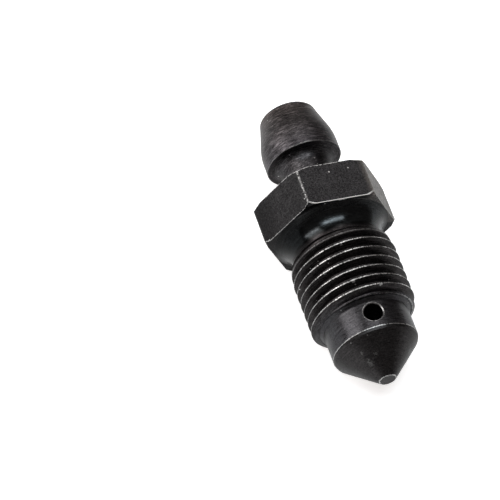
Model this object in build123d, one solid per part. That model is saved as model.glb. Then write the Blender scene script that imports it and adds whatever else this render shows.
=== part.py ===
from build123d import *
import os
from math import cos, radians, sqrt, tan

# A bleeder screw, turned from one piece of hexagon steel bar. Millimetres.
# The axis is X, with the sealing cone at +X and the hose nipple at -X. The origin is on the
# axis at the underside of the hexagon, one flat of which faces straight down.

# Hexagon
hex_across_flats = 11.0
hex_height = 4.0
hex_corner_radius = 0.12
upper_chamfer_past_flats = 0.75
upper_chamfer_angle = 32
lower_chamfer_past_flats = 1.08
lower_chamfer_angle = 45

# Hose nipple, and the neck that joins it to the hexagon
nipple_length = 13.38
nipple_tip_diameter = 4.3
nipple_tip_radius = 0.6
barb_length = 5.43
barb_diameter = 7.15
barb_land_length = 1.98
barb_knee_radius = 5.0
barb_edge_break = 0.06
neck_diameter = 4.55
neck_root_length = 0.95
neck_root_height = 0.9

# Relief below the hexagon, a wide concave sweep into a short plain neck
relief_diameter = 8.6
relief_sweep_radius = 2.45
relief_edge_inset = 0.05
relief_width = 0.2

# Thread, right-handed
thread_major_diameter = 9.91
thread_pitch = 1.0
thread_end = 9.78
thread_end_chamfer = 0.4
first_crest_diameter = 9.45
first_crest_taper = 1.25
groove_start = 2.01
groove_turns = 9

# Cross-drilled pilot and sealing cone
pilot_diameter = 8.0
pilot_root_chamfer = 0.3
pilot_end = 12.83
cone_angle = 90
cone_tip_diameter = 1.6
rim_chamfer = 0.16

# Drillings
bore_diameter = 2.6
bore_mouth_chamfer = 0.2
drill_point_angle = 118
port_diameter = 1.74
port_place = 11.16
port_turn = 7.3
port_edge_break = 0.08

# ISO metric thread profile
thread_depth = 0.6134 * thread_pitch
root_flat = thread_pitch / 6
flank_angle = 30

# How far a cutting tool reaches past the surface that it cuts
groove_overreach = 0.08
drill_overreach = 1.0

flat_radius = hex_across_flats / 2
corner_radius = flat_radius / cos(radians(30))
major_radius = thread_major_diameter / 2
minor_radius = major_radius - thread_depth
relief_radius = relief_diameter / 2
pilot_radius = pilot_diameter / 2
inside_hexagon = -hex_height / 2
sweep_rise = relief_sweep_radius - (flat_radius - relief_edge_inset - relief_radius)
sweep_end = sqrt(relief_sweep_radius**2 - sweep_rise**2)
relief_end = sweep_end + relief_width


def turned(outline, rounds=(), breaks=()):
    """A solid turned from a closed half section, with its listed corners rounded or chamfered."""
    with BuildPart() as body:
        with BuildSketch(Plane.XY) as section:
            add(outline)
            make_face()
            for corner, radius in rounds:
                fillet(section.vertices().sort_by_distance(corner).first, radius)
            for corner, length in breaks:
                chamfer(section.vertices().sort_by_distance(corner).first, length)
        revolve(axis=Axis.X)
    return body.part


def nipple():
    """Hose nipple: a conical barb with a plain land and a square back, on a thinner neck."""
    end_r = nipple_tip_diameter / 2
    base_r = barb_diameter / 2
    neck_r = neck_diameter / 2
    base_x = barb_length - nipple_length
    end = (-nipple_length, end_r)
    shoulder = (nipple_tip_radius - nipple_length, end_r + nipple_tip_radius)
    knee = (base_x - barb_land_length, base_r)
    lip = (base_x, base_r)
    root_top = (base_x, neck_r + neck_root_height)
    root_end = (base_x + neck_root_length, neck_r)
    root_middle = (base_x + neck_root_length, neck_r + neck_root_height)
    with BuildLine() as outline:
        Line((-nipple_length, 0), end)
        RadiusArc(end, shoulder, nipple_tip_radius)
        Polyline(shoulder, knee, lip, root_top)
        EllipticalCenterArc(
            root_middle,
            neck_root_length,
            neck_root_height,
            start_angle=180,
            arc_size=90,
        )
        Polyline(root_end, (inside_hexagon, neck_r), (inside_hexagon, 0), (-nipple_length, 0))
    return turned(
        outline.line,
        rounds=[(knee, barb_knee_radius)],
        breaks=[(lip, barb_edge_break)],
    )


def hexagon():
    """The wrench hexagon, its corners cut back at both ends by turned chamfers."""
    upper_r = (hex_across_flats + upper_chamfer_past_flats) / 2
    lower_r = (hex_across_flats + lower_chamfer_past_flats) / 2
    outside_r = corner_radius + drill_overreach
    upper_drop = (outside_r - upper_r) * tan(radians(upper_chamfer_angle))
    lower_drop = (outside_r - lower_r) * tan(radians(lower_chamfer_angle))
    with BuildLine() as outline:
        Polyline(
            (-hex_height, 0),
            (-hex_height, upper_r),
            (upper_drop - hex_height, outside_r),
            (-lower_drop, outside_r),
            (0, lower_r),
            (0, 0),
            close=True,
        )
    with BuildPart() as prism:
        with BuildSketch(Plane.YZ):
            RegularPolygon(flat_radius, 6, major_radius=False)
        extrude(amount=-hex_height)
        fillet(prism.edges().filter_by(Axis.X), hex_corner_radius)
    return prism.part & turned(outline.line)


def relief():
    """The concave sweep under the hexagon and the plain neck that the thread runs out into."""
    sweep_top = flat_radius - relief_edge_inset
    with BuildLine() as outline:
        Polyline((inside_hexagon, 0), (inside_hexagon, sweep_top), (0, sweep_top))
        RadiusArc((0, sweep_top), (sweep_end, relief_radius), -relief_sweep_radius)
        Polyline(
            (sweep_end, relief_radius),
            (relief_end, relief_radius),
            (relief_end, 0),
            (inside_hexagon, 0),
        )
    return turned(outline.line)


def shank():
    """Threaded shank, pilot and sealing cone, from the relief to the tip."""
    first_r = first_crest_diameter / 2
    first_x = relief_end + first_r - relief_radius
    step_r = major_radius - thread_end_chamfer
    tip_r = cone_tip_diameter / 2
    tip_x = pilot_end + (pilot_radius - tip_r) / tan(radians(cone_angle / 2))
    step_root = (thread_end, pilot_radius)
    cone_rim = (pilot_end, pilot_radius)
    with BuildLine() as outline:
        Polyline(
            (relief_end, 0),
            (relief_end, relief_radius),
            (first_x, first_r),
            (first_x + first_crest_taper, major_radius),
            (thread_end - thread_end_chamfer, major_radius),
            (thread_end, step_r),
            step_root,
            cone_rim,
            (tip_x, tip_r),
            (tip_x, 0),
            close=True,
        )
    blank = turned(
        outline.line,
        breaks=[(step_root, pilot_root_chamfer), (cone_rim, rim_chamfer)],
    )
    bar = Rot(0, 90, 0) * Cylinder(
        major_radius,
        tip_x + drill_overreach,
        align=(Align.CENTER, Align.CENTER, Align.MIN),
    )
    return (bar - thread_groove()) & blank


def thread_groove():
    """The thread's helical groove, which runs out into the relief and past the end chamfer."""
    root_half = root_flat / 2
    mouth_r = major_radius + groove_overreach
    mouth_half = root_half + (mouth_r - minor_radius) * tan(radians(flank_angle))
    with BuildPart() as groove:
        with BuildLine():
            helix = Helix(thread_pitch, groove_turns * thread_pitch, minor_radius)
        with BuildSketch(Plane.XZ):
            Polygon(
                (minor_radius, -root_half),
                (mouth_r, -mouth_half),
                (mouth_r, mouth_half),
                (minor_radius, root_half),
                align=None,
            )
        sweep(path=helix, is_frenet=True)
    return Pos(groove_start, 0, 0) * Rot(0, 90, 0) * groove.part


def drain_bore():
    """Blind bore up the axis from the nipple's mouth, drilled just past the cross port."""
    radius = bore_diameter / 2
    mouth_r = radius + bore_mouth_chamfer
    point = radius / tan(radians(drill_point_angle / 2))
    full_end = port_place + port_diameter / 2
    with BuildLine() as outline:
        Polyline(
            (-nipple_length - drill_overreach, 0),
            (-nipple_length - drill_overreach, mouth_r),
            (-nipple_length, mouth_r),
            (bore_mouth_chamfer - nipple_length, radius),
            (full_end, radius),
            (full_end + point, 0),
            close=True,
        )
    return turned(outline.line)


def cross_port(body):
    """The body with a hole drilled from the pilot's side to the axis, its edge broken."""
    drill = Cylinder(
        port_diameter / 2,
        pilot_radius + drill_overreach,
        align=(Align.CENTER, Align.CENTER, Align.MIN),
    )
    drilled = body - Pos(port_place, 0, 0) * Rot(X=port_turn) * drill
    rim_place = Vector(port_place, 0, pilot_radius).rotate(Axis.X, port_turn)
    rim = drilled.edges().sort_by_distance(rim_place).first
    return chamfer(rim, port_edge_break)


def bleeder_screw():
    """The whole screw, one solid."""
    body = nipple() + hexagon() + relief() + cross_port(shank())
    return body - drain_bore()


os.makedirs("parts", exist_ok=True)
export_step(bleeder_screw(), "parts/bleeder_screw.step")
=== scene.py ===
import math

import bpy
from mathutils import Matrix, Vector


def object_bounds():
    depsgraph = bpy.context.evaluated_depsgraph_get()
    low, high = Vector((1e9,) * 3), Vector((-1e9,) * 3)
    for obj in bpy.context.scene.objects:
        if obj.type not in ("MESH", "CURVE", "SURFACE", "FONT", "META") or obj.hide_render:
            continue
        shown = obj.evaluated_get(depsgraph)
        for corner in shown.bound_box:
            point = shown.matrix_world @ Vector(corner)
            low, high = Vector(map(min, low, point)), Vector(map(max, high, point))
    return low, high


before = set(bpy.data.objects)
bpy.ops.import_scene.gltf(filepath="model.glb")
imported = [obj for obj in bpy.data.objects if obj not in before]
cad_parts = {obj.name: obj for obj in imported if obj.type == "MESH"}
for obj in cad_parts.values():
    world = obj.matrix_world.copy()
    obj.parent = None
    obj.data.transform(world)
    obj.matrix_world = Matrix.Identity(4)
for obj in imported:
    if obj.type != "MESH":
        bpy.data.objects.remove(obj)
cad_low, cad_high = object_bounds()

# The screw: one piece of steel turned from hexagon bar, threaded, drilled and blackened all over.
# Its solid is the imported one. The finish below is worked out in millimetres along the axis, out
# from it and round it, so that wear follows the edges and tool marks follow the turning.
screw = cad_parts["bleeder_screw"]
blackened_steel = bpy.data.materials.new("blackened_steel")
blackened_steel.use_nodes = True


class Wire:
    """A shader socket that can be used in sums like a number."""

    tree = blackened_steel.node_tree

    def __init__(self, socket):
        self.socket = socket

    @classmethod
    def node(cls, kind, settings=None, inputs=None, output=0):
        """Adds a node: its settings first, then the values or wires of its sockets."""
        made = cls.tree.nodes.new(kind)
        for name, value in (settings or {}).items():
            if name == "stops":
                for stop, (place, colour) in zip(made.color_ramp.elements, value):
                    stop.position = place
                    stop.color = colour
                for place, colour in value[2:]:
                    made.color_ramp.elements.new(place).color = colour
            else:
                setattr(made, name, value)
        for name, value in (inputs or {}).items():
            if isinstance(value, Wire):
                cls.tree.links.new(value.socket, made.inputs[name])
            else:
                made.inputs[name].default_value = value
        return cls(made.outputs[output])

    def maths(self, operation, *others):
        """A Math node with this wire and the others as its values."""
        values = dict(enumerate((self,) + others))
        return Wire.node("ShaderNodeMath", {"operation": operation}, values)

    def __add__(self, other):
        return self.maths("ADD", other)

    __radd__ = __add__

    def __mul__(self, other):
        return self.maths("MULTIPLY", other)

    __rmul__ = __mul__

    def __truediv__(self, other):
        return self.maths("DIVIDE", other)

    def __neg__(self):
        return self * -1

    def __sub__(self, other):
        return self.maths("SUBTRACT", other)

    def __rsub__(self, other):
        return -self + other

    def size(self):
        """This value without its sign."""
        return self.maths("ABSOLUTE")

    def least(self, other):
        """This value or the other, whichever is smaller."""
        return self.maths("MINIMUM", other)

    def most(self, other):
        """This value or the other, whichever is larger."""
        return self.maths("MAXIMUM", other)

    def step(self, start, end):
        """0 before start and 1 past end, with a smooth change between them."""
        return Wire.node(
            "ShaderNodeMapRange",
            {"interpolation_type": "SMOOTHSTEP"},
            {"Value": self, "From Min": start, "From Max": end},
        )


# A point of the screw: its place along the axis, its distance out from it, and its turn round it
# from the upper flat towards +Y.
position = Wire.node("ShaderNodeTexCoord", output="Object")
in_mm = Wire.node("ShaderNodeVectorMath", {"operation": "SCALE"}, {0: position, "Scale": 1000})
x, y, z = [Wire.node("ShaderNodeSeparateXYZ", None, {0: in_mm}, name) for name in "XYZ"]
out = (y * y + z * z).maths("SQRT")
turn = y.maths("ARCTAN2", z)


def between(value, start, end, soft=0.02):
    """1 where the value lies between start and end."""
    return value.step(start - soft, start + soft) - value.step(end - soft, end + soft)


def facing(start, end, soft=0.02):
    """1 on the side of the screw between those turns, in degrees, and soft in radians."""
    return between(turn, math.radians(start), math.radians(end), soft)


# The parts of the screw, by their place along the axis in mm. The burnished part is the relief
# under the hexagon, and the point is the pilot and the cone.
on_nipple = 1 - x.step(-4.05, -3.95)
on_hexagon = between(x, -4.0, 0.0)
burnished = between(x, 0.02, 2.3)
on_point = x.step(9.7, 9.8)


def by_part(usual, nipple=None, hexagon=None, point=None):
    """A number that has another value on the parts that are named."""
    value = usual
    for part, own in ((on_nipple, nipple), (on_hexagon, hexagon), (on_point, point)):
        if own is not None:
            value = value + part * (own - usual)
    return value


def noise(vector, scale, detail, roughness=0.55):
    """Cloudy noise from 0 to 1 on a position in mm, with scale features to the mm."""
    return Wire.node(
        "ShaderNodeTexNoise",
        {"noise_dimensions": "3D"},
        {"Vector": vector, "Scale": scale, "Detail": detail, "Roughness": roughness},
    )


# Fine mottling that breaks up every mark: spots and grit of a tenth of a millimetre or two, and
# wider clouds.
spots = noise(in_mm, scale=5.0, detail=4.0, roughness=0.65)
grit = noise(in_mm, scale=8.0, detail=2.0, roughness=0.8)
clouds = noise(in_mm, scale=0.7, detail=2.0)
ragged = spots + grit - 1


def worn(distance, width, share):
    """Wear within that distance of an edge, in mm: solid for a share of 1, broken for less."""
    closeness = (1 - distance / width).most(0)
    broken = closeness + ragged * 2.2 + (share - 0.75)
    return broken.step(0.15, 0.6) * closeness.step(0.0, 0.3)


# How the blackening came out along the axis, in mm: the light it reflects and its roughness.
# Turned faces are smoother than the drawn flats, and the relief was burnished by a form tool.
finish_along_axis = [
    (-13.38, (0.099, 0.084, 0.080), 0.42),
    (-10.80, (0.075, 0.067, 0.067), 0.38),
    (-8.05, (0.067, 0.061, 0.065), 0.36),
    (-7.95, (0.066, 0.061, 0.063), 0.40),
    (-4.05, (0.066, 0.061, 0.063), 0.40),
    (-3.95, (0.047, 0.044, 0.045), 0.48),
    (-0.03, (0.047, 0.044, 0.045), 0.48),
    (0.03, (0.022, 0.022, 0.022), 0.38),
    (0.70, (0.024, 0.025, 0.026), 0.19),
    (1.70, (0.026, 0.028, 0.029), 0.17),
    (1.88, (0.012, 0.012, 0.012), 0.20),
    (2.40, (0.036, 0.032, 0.032), 0.42),
    (9.20, (0.036, 0.032, 0.032), 0.42),
    (9.70, (0.045, 0.043, 0.045), 0.31),
    (12.60, (0.048, 0.046, 0.049), 0.29),
    (12.70, (0.037, 0.034, 0.034), 0.36),
    (16.03, (0.037, 0.034, 0.034), 0.36),
]
screw_start = cad_low.x * 1000
screw_length = cad_high.x * 1000 - screw_start
stops = [
    (min(max((place - screw_start) / screw_length, 0), 1), (*light, rough))
    for place, light, rough in finish_along_axis
]
along = (x - screw_start) / screw_length
finish = Wire.node("ShaderNodeValToRGB", {"stops": stops}, {"Fac": along})
finish_roughness = Wire(finish.socket.node.outputs["Alpha"])

# Grain of the drawn flats, and the fine rings that the turning tool left everywhere else. The
# tool's path is measured along the axis on a cylinder, and inwards on a face.
tool_path = x - out


def turned_noise(lines_per_mm, detail, roughness):
    """Noise drawn out into arcs round the axis, as fine as that along the tool's path."""
    arcs_per_turn = 4
    arcs = Wire.node(
        "ShaderNodeCombineXYZ",
        None,
        {
            "X": tool_path * lines_per_mm,
            "Y": y / out * arcs_per_turn,
            "Z": z / out * arcs_per_turn,
        },
    )
    return noise(arcs, 1.0, detail, roughness)


grain = noise(in_mm, scale=5.5, detail=4.0, roughness=0.75) * on_hexagon
rings = turned_noise(7.5, detail=4.0, roughness=0.8) * (1 - on_hexagon)
texture = grain + rings
tool_lines = turned_noise(9, detail=2.0, roughness=0.6).step(0.53, 0.66) * (1 - on_hexagon)

# Wear on the hexagon's edges, from how far a point lies from the line where two faces meet. The
# corner in front is rubbed grey with bright beads in it, and the lower edge is bright on top.
flat_radius = 5.5
hex_top = -4.0
lower_chamfer_radius = 6.04
upper_chamfer_radius = 5.875
upper_chamfer_slope = math.radians(32)
sector = math.pi / 3
fold = ((turn + sector / 2).maths("FLOORED_MODULO", sector) - sector / 2).size()
flat_depth = flat_radius - out * fold.maths("COSINE")
next_depth = flat_radius - out * (sector - fold).maths("COSINE")
lower_depth = ((lower_chamfer_radius - out - x) / math.sqrt(2)).least(-x)
upper_cone = upper_chamfer_radius + (x - hex_top) / math.tan(upper_chamfer_slope)
upper_depth = ((upper_cone - out) * math.sin(upper_chamfer_slope)).least(x - hex_top)
corner_gap = (flat_depth + next_depth).size()
rub_width = 0.16
rub = (1 - corner_gap / rub_width).most(0) * (ragged * 3.5 + 0.5).most(0.12).least(1.0)
corner_wear = (worn(corner_gap, width=0.21, share=0.22) * 0.75).most(rub * 0.55)
corner_wear = corner_wear * (facing(-60, 60) * 0.38 + 0.25)
on_top = facing(-29, 31, 0.05)
lower_wear = worn((flat_depth + lower_depth).size(), width=0.08, share=on_top * 0.6 + 0.5)
lower_wear = lower_wear * (on_top * 0.5 + 0.5)
upper_wear = worn((flat_depth + upper_depth).size(), width=0.09, share=0.5) * 0.7
hexagon_wear = corner_wear.most(lower_wear).most(upper_wear) * between(x, hex_top - 0.1, 0.1)

# One corner of the hexagon was rubbed broad and brown instead of bright, and the flat beyond it
# was rubbed in streaks, lightened further by a painted sheen. The flat at the other side carries
# painted shade: darker all over, and darker still towards the far corner.
brown_corner = 30
brown_gap = (turn - math.radians(brown_corner)).size() * out + (spots - 0.5) * 0.8
brown = (1 - brown_gap.step(0.05, 0.5)) * on_hexagon
hexagon_wear = hexagon_wear * (1 - brown * 0.65)
lengthwise = Wire.node("ShaderNodeCombineXYZ", None, {"X": x * 2, "Y": y * 9, "Z": z * 9})
streaks = noise(lengthwise, scale=1.0, detail=3.0, roughness=0.75).step(0.36, 0.62)
# Real rubbed streaks, with a painted sheen that lightens this flat.
rubbed_streaks_and_painted_sheen = facing(brown_corner, 88, 0.03) * on_hexagon * streaks
# Painted shade: this flat is darker, most of all towards its far corner.
painted_shade_on_flat = (facing(-92, -30) * 0.25 + facing(-92, -76, 0.25) * 0.40) * on_hexagon

# The thread's crests, which a nut or a hand touches first: bright in beads along their middle,
# where the helix passes. The first one is cut down to a taper, and hardly touched. On one side
# the crests are dimmed by painted shade.
major_radius = 4.955
pitch = 1.0
crest_start = 0.01
first_crest_place = 2.70
first_crest_radius = 4.725
first_crest_taper = 0.184
crest_radius = first_crest_radius + (x - first_crest_place) * first_crest_taper
crest_radius = crest_radius.least(major_radius)
helix = x + turn * (pitch / (2 * math.pi)) - crest_start + pitch / 2
from_middle = (helix.maths("FLOORED_MODULO", pitch) - pitch / 2).size()
crest_gap = (crest_radius - out).size() + from_middle * 0.7
patchy = noise(in_mm, scale=1.1, detail=3.0, roughness=0.6).step(0.38, 0.62)
beads = ((grit - 0.5) * 5 + 0.8).most(0.35).least(1.0)
on_first_crest = between(x, 2.5, 3.75, 0.1)
# Painted shade: the crests on this side are made less bright.
painted_shade_side = facing(-125, -48, 0.2)
crest_wear = worn(crest_gap, width=0.055, share=0.62) * (patchy * 0.55 + 0.45) * beads
crest_wear = crest_wear * (1 - on_first_crest * 0.7) * (1 - painted_shade_side * 0.3)
crest_wear = crest_wear * between(x, 2.3, 9.75)


def ring(place, radius, width, share):
    """Wear on a turned edge at that place on the axis and that radius, in mm."""
    return worn((x - place).size() + (out - radius).size(), width, share)


# Wear on the turned edges. Each line ends with how bright it is, where 1 is bare steel: the barb's
# edge and the thread's last turn are brighter on one side.
cone_rim = ring(12.68, 3.99, width=0.08, share=0.6) * 0.5
cone_tip = ring(16.03, 0.8, width=0.14, share=0.4) * 0.7
barb_edge = ring(-7.98, 3.55, width=0.09, share=0.7) * (0.12 + facing(-38, 5, 0.35) * 0.65)
last_turn = ring(9.78, 4.50, width=0.12, share=0.55) * (0.3 + facing(2, 22, 0.04) * 0.3)
bore_mouth = ring(-13.38, 1.5, width=0.10, share=0.7) * 0.7
turned_wear = cone_rim.most(cone_tip).most(barb_edge).most(last_turn).most(bore_mouth)

# Wear on the cross port's broken edge, on the pilot's outside.
port_place = 11.16
port_turn = math.radians(7.3)
port_rim_radius = 0.92
beside_port = y * math.cos(port_turn) + z * math.sin(port_turn)
from_port = ((x - port_place) * (x - port_place) + beside_port * beside_port).maths("SQRT")
port_wear = worn((from_port - port_rim_radius).size(), width=0.09, share=0.7) * 0.35
port_wear = port_wear * z.step(0, 0.1) * out.step(3.8, 3.85)


def marks(places):
    """Spots of wear: each has a place along the axis, a turn in degrees, and a size in mm."""
    spot = None
    for place, degrees, size in places:
        gap_along = x - place
        gap_around = (turn - math.radians(degrees)) * out
        gap = (gap_along * gap_along + gap_around * gap_around).maths("SQRT")
        mark = worn(gap + (spots - 0.5) * 0.5, size, share=0.6)
        spot = mark if spot is None else spot.most(mark)
    return spot


# Nicks in the thread's crests, and faint scuffs on the cone.
nick = marks(
    [(4.25, -16, 0.20), (6.10, -44, 0.22), (8.10, -18, 0.24), (9.05, 9, 0.26), (5.2, -58, 0.12)]
)
nick = nick * out.step(4.7, 4.85)
scuff = marks([(13.95, -49, 0.22), (14.76, -47, 0.45), (14.40, -26, 0.30), (14.1, 70, 0.4)])

# Small bright specks, where the black has chipped: in about one in four cells of a random pattern,
# and fainter on the pilot and the cone.
cells = Wire.node("ShaderNodeTexVoronoi", None, {"Vector": in_mm, "Scale": 1.3})
chance = Wire(cells.socket.node.outputs["Color"])
lucky = Wire.node("ShaderNodeSeparateColor", None, {0: chance}).step(0.76, 0.78)
specks = (1 - cells.step(0.05, 0.12)) * lucky * 0.8
specks = specks * out.step(1.5, 1.6) * (1 - burnished) * by_part(1.0, point=0.3)

# The black itself, lighter and darker than the finish by its texture and mottling. Painted shade
# makes it darker on one side of the relief, on one side of the neck and on one flat of the
# hexagon.
shade = 1 + (texture - 0.5) * by_part(3.6, nipple=2.8, hexagon=2.2, point=2.1)
shade = shade + (spots - 0.5) * by_part(1.2, nipple=0.6, point=0.8)
shade = shade + (grit - 0.5) * by_part(3.0, nipple=1.8, point=2.0)
shade = shade + (clouds - 0.5) * 0.6
shade = shade + (tool_lines - 0.25) * by_part(0.7, nipple=1.1, point=0.3) * (1 - burnished)
# Painted shade: one side of the relief and one side of the neck are made darker.
painted_shade_on_relief = facing(-112, -50, 0.12) * burnished
painted_shade_on_neck = between(x, -7.9, -4.0) * facing(0, 130, 0.4)
shade = shade * (1 - painted_shade_on_flat) * (1 - painted_shade_on_relief * 0.6) * (1 - painted_shade_on_neck * 0.5)
black = Wire.node(
    "ShaderNodeVectorMath", {"operation": "SCALE"}, {0: finish, "Scale": shade.most(0.2)}
)


def blend(amount, first, second):
    """The first colour where amount is 0, and the second where it is 1."""
    return Wire.node(
        "ShaderNodeMix",
        {"data_type": "RGBA"},
        {"Factor": amount, 6: first, 7: second},
        output=2,
    )


# The colour: black, then the brown corner, the rubbed flat with its painted sheen, and bare steel
# where it is worn.
bare_steel = (0.80, 0.78, 0.76, 1)
brown_steel = (0.13, 0.115, 0.105, 1)
# The rubbed flat's colour is light partly as a painted sheen.
rubbed_steel_and_painted_sheen = (0.55, 0.505, 0.465, 1)
bare_roughness = 0.34
wear = hexagon_wear.most(crest_wear).most(turned_wear).most(port_wear)
wear = wear.most(nick * 0.7).most(specks).most(scuff * 0.08)
colour = blend(brown * 0.7, black, brown_steel)
colour = blend(rubbed_streaks_and_painted_sheen * 0.45, colour, rubbed_steel_and_painted_sheen)
colour = blend(wear, colour, bare_steel)
roughness = finish_roughness + (texture - 0.5) * (0.3 - burnished * 0.2)
roughness = roughness * (1 - wear) + wear * bare_roughness

# Heights in mm for the bump: grain and rings are a few microns, and a nick is a real dent.
ring_height = by_part(0.022, point=0.012) - burnished * 0.018
grain_height = 0.014
nick_depth = 0.012
wear_depth = 0.003
height = grain * grain_height + rings * ring_height - nick * nick_depth - wear * wear_depth
bump = Wire.node("ShaderNodeBump", None, {"Strength": 1.0, "Distance": 0.001, "Height": height})
shader = blackened_steel.node_tree.nodes["Principled BSDF"]
shader.inputs["Metallic"].default_value = 1.0
shader.inputs["Specular Tint"].default_value = (0.88, 0.87, 0.86, 1)
for name, value in {"Base Color": colour, "Roughness": roughness, "Normal": bump}.items():
    Wire.tree.links.new(value.socket, shader.inputs[name])
screw.data.materials[0] = blackened_steel

# The floor: a plain pale table top. The screw lies on the hexagon's lower edge and on its last
# full thread crest, so in the screw's own frame the floor leans a little.
hex_rest = Vector((0, 0, -0.0055))
crest_rest = Vector((0.00955, 0, -0.004955))
floor_slope = math.atan2(crest_rest.z - hex_rest.z, crest_rest.x - hex_rest.x)
bpy.ops.object.select_all(action="DESELECT")
bpy.ops.mesh.primitive_plane_add(size=2, location=hex_rest, rotation=(0, -floor_slope, 0))
floor = bpy.context.object
floor.name = "floor"
paper = bpy.data.materials.new("floor_paper")
paper.use_nodes = True
paper_shader = paper.node_tree.nodes["Principled BSDF"]
paper_shader.inputs["Base Color"].default_value = (0.9, 0.9, 0.9, 1)
paper_shader.inputs["Roughness"].default_value = 0.9
paper_shader.inputs["Specular IOR Level"].default_value = 0.2
paper_shader.inputs["Emission Strength"].default_value = 1
glow_on_steel = (0.15, 0.15, 0.15, 1)
glow_in_picture = (0.66, 0.64, 0.63, 1)
glow = paper.node_tree.nodes.new("ShaderNodeMix")
glow.data_type = "RGBA"
glow.inputs[6].default_value = glow_on_steel
glow.inputs[7].default_value = glow_in_picture
seen = paper.node_tree.nodes.new("ShaderNodeLightPath")
paper.node_tree.links.new(seen.outputs["Is Camera Ray"], glow.inputs["Factor"])
paper.node_tree.links.new(glow.outputs[2], paper_shader.inputs["Emission Color"])
floor.data.materials.append(paper)

# The camera: it looks down on the screw from 300 mm through a long lens, leaning to the left, so
# that the nipple points up and away. The screw shows to the right of the picture's middle.
aim = Vector((0.0014, 0, 0))
to_camera = Vector((0.5000, -0.2962, 0.8138)).normalized()
picture_right = Vector((0.3004, 0.9407, 0.1578)).normalized()
picture_up = to_camera.cross(picture_right)
distance = 0.3
aim_past_middle = (0.00782, 0.00038)
picture_width = 500
pixels_per_mm = 11.01
camera_data = bpy.data.cameras.new("camera")
camera = bpy.data.objects.new("camera", camera_data)
bpy.context.scene.collection.objects.link(camera)
place = aim + distance * to_camera
place = place - aim_past_middle[0] * picture_right - aim_past_middle[1] * picture_up
axes = Matrix((picture_right, picture_up, to_camera)).transposed()
camera.matrix_world = Matrix.Translation(place) @ axes.to_4x4()
camera_data.sensor_width = 36
picture_in_mm = picture_width / pixels_per_mm
camera_data.lens = camera_data.sensor_width * distance * 1000 / picture_in_mm
camera_data.clip_start = 0.01
bpy.context.scene.camera = camera


# The lights: soft boxes half a metre from the screw, all facing it. Their directions are given in
# the picture's own right, up and back.
def in_picture(right, up, back):
    return right * picture_right + up * picture_up + back * to_camera


def soft_box(name, direction, long_side, length, width, brightness, tint=(1, 1, 1)):
    """Adds a rectangular light in that direction, its length along the long side."""
    from_screw = 0.5
    toward = in_picture(*direction).normalized()
    across = in_picture(*long_side)
    across = (across - across.dot(toward) * toward).normalized()
    data = bpy.data.lights.new(name, "AREA")
    data.shape = "RECTANGLE"
    data.size = length
    data.size_y = width
    data.energy = brightness * math.pi * length * width
    data.color = tint
    box = bpy.data.objects.new(name, data)
    bpy.context.scene.collection.objects.link(box)
    aimed = Matrix((across, toward.cross(across), toward)).transposed()
    box.matrix_world = Matrix.Translation(aim + from_screw * toward) @ aimed.to_4x4()


cool = (0.86, 0.95, 1.0)
soft_box("key_box", (-0.76, 0.51, 0.38), (0.63, 0.38, 0.25), 0.34, 0.24, 3.6)
soft_box("top_box", (-0.05, 0.87, 0.49), (1, 0, 0), 0.24, 0.13, 2.8)
soft_box("back_box", (0.0, 0.97, 0.22), (1, 0, 0), 0.50, 0.40, 0.6)
soft_box("window_left", (-0.78, 0.20, 0.59), (0.39, 0.30, 0.32), 0.34, 0.09, 6.0)
soft_box("window_right", (0.06, 0.41, 0.91), (0.76, 0.20, -0.19), 0.44, 0.11, 9.5, cool)

# The room: pale where the camera looks past the floor, and dim where the steel reflects it.
room_on_steel = (0.17, 0.162, 0.158, 1)
room_in_picture = (0.93, 0.93, 0.93, 1)
world = bpy.data.worlds.new("studio")
world.use_nodes = True
sky = world.node_tree.nodes["Background"]
rays = world.node_tree.nodes.new("ShaderNodeLightPath")
tone = world.node_tree.nodes.new("ShaderNodeMix")
tone.data_type = "RGBA"
tone.inputs[6].default_value = room_on_steel
tone.inputs[7].default_value = room_in_picture
world.node_tree.links.new(rays.outputs["Is Camera Ray"], tone.inputs["Factor"])
world.node_tree.links.new(tone.outputs[2], sky.inputs["Color"])
bpy.context.scene.world = world
bpy.context.scene.view_settings.view_transform = "Standard"
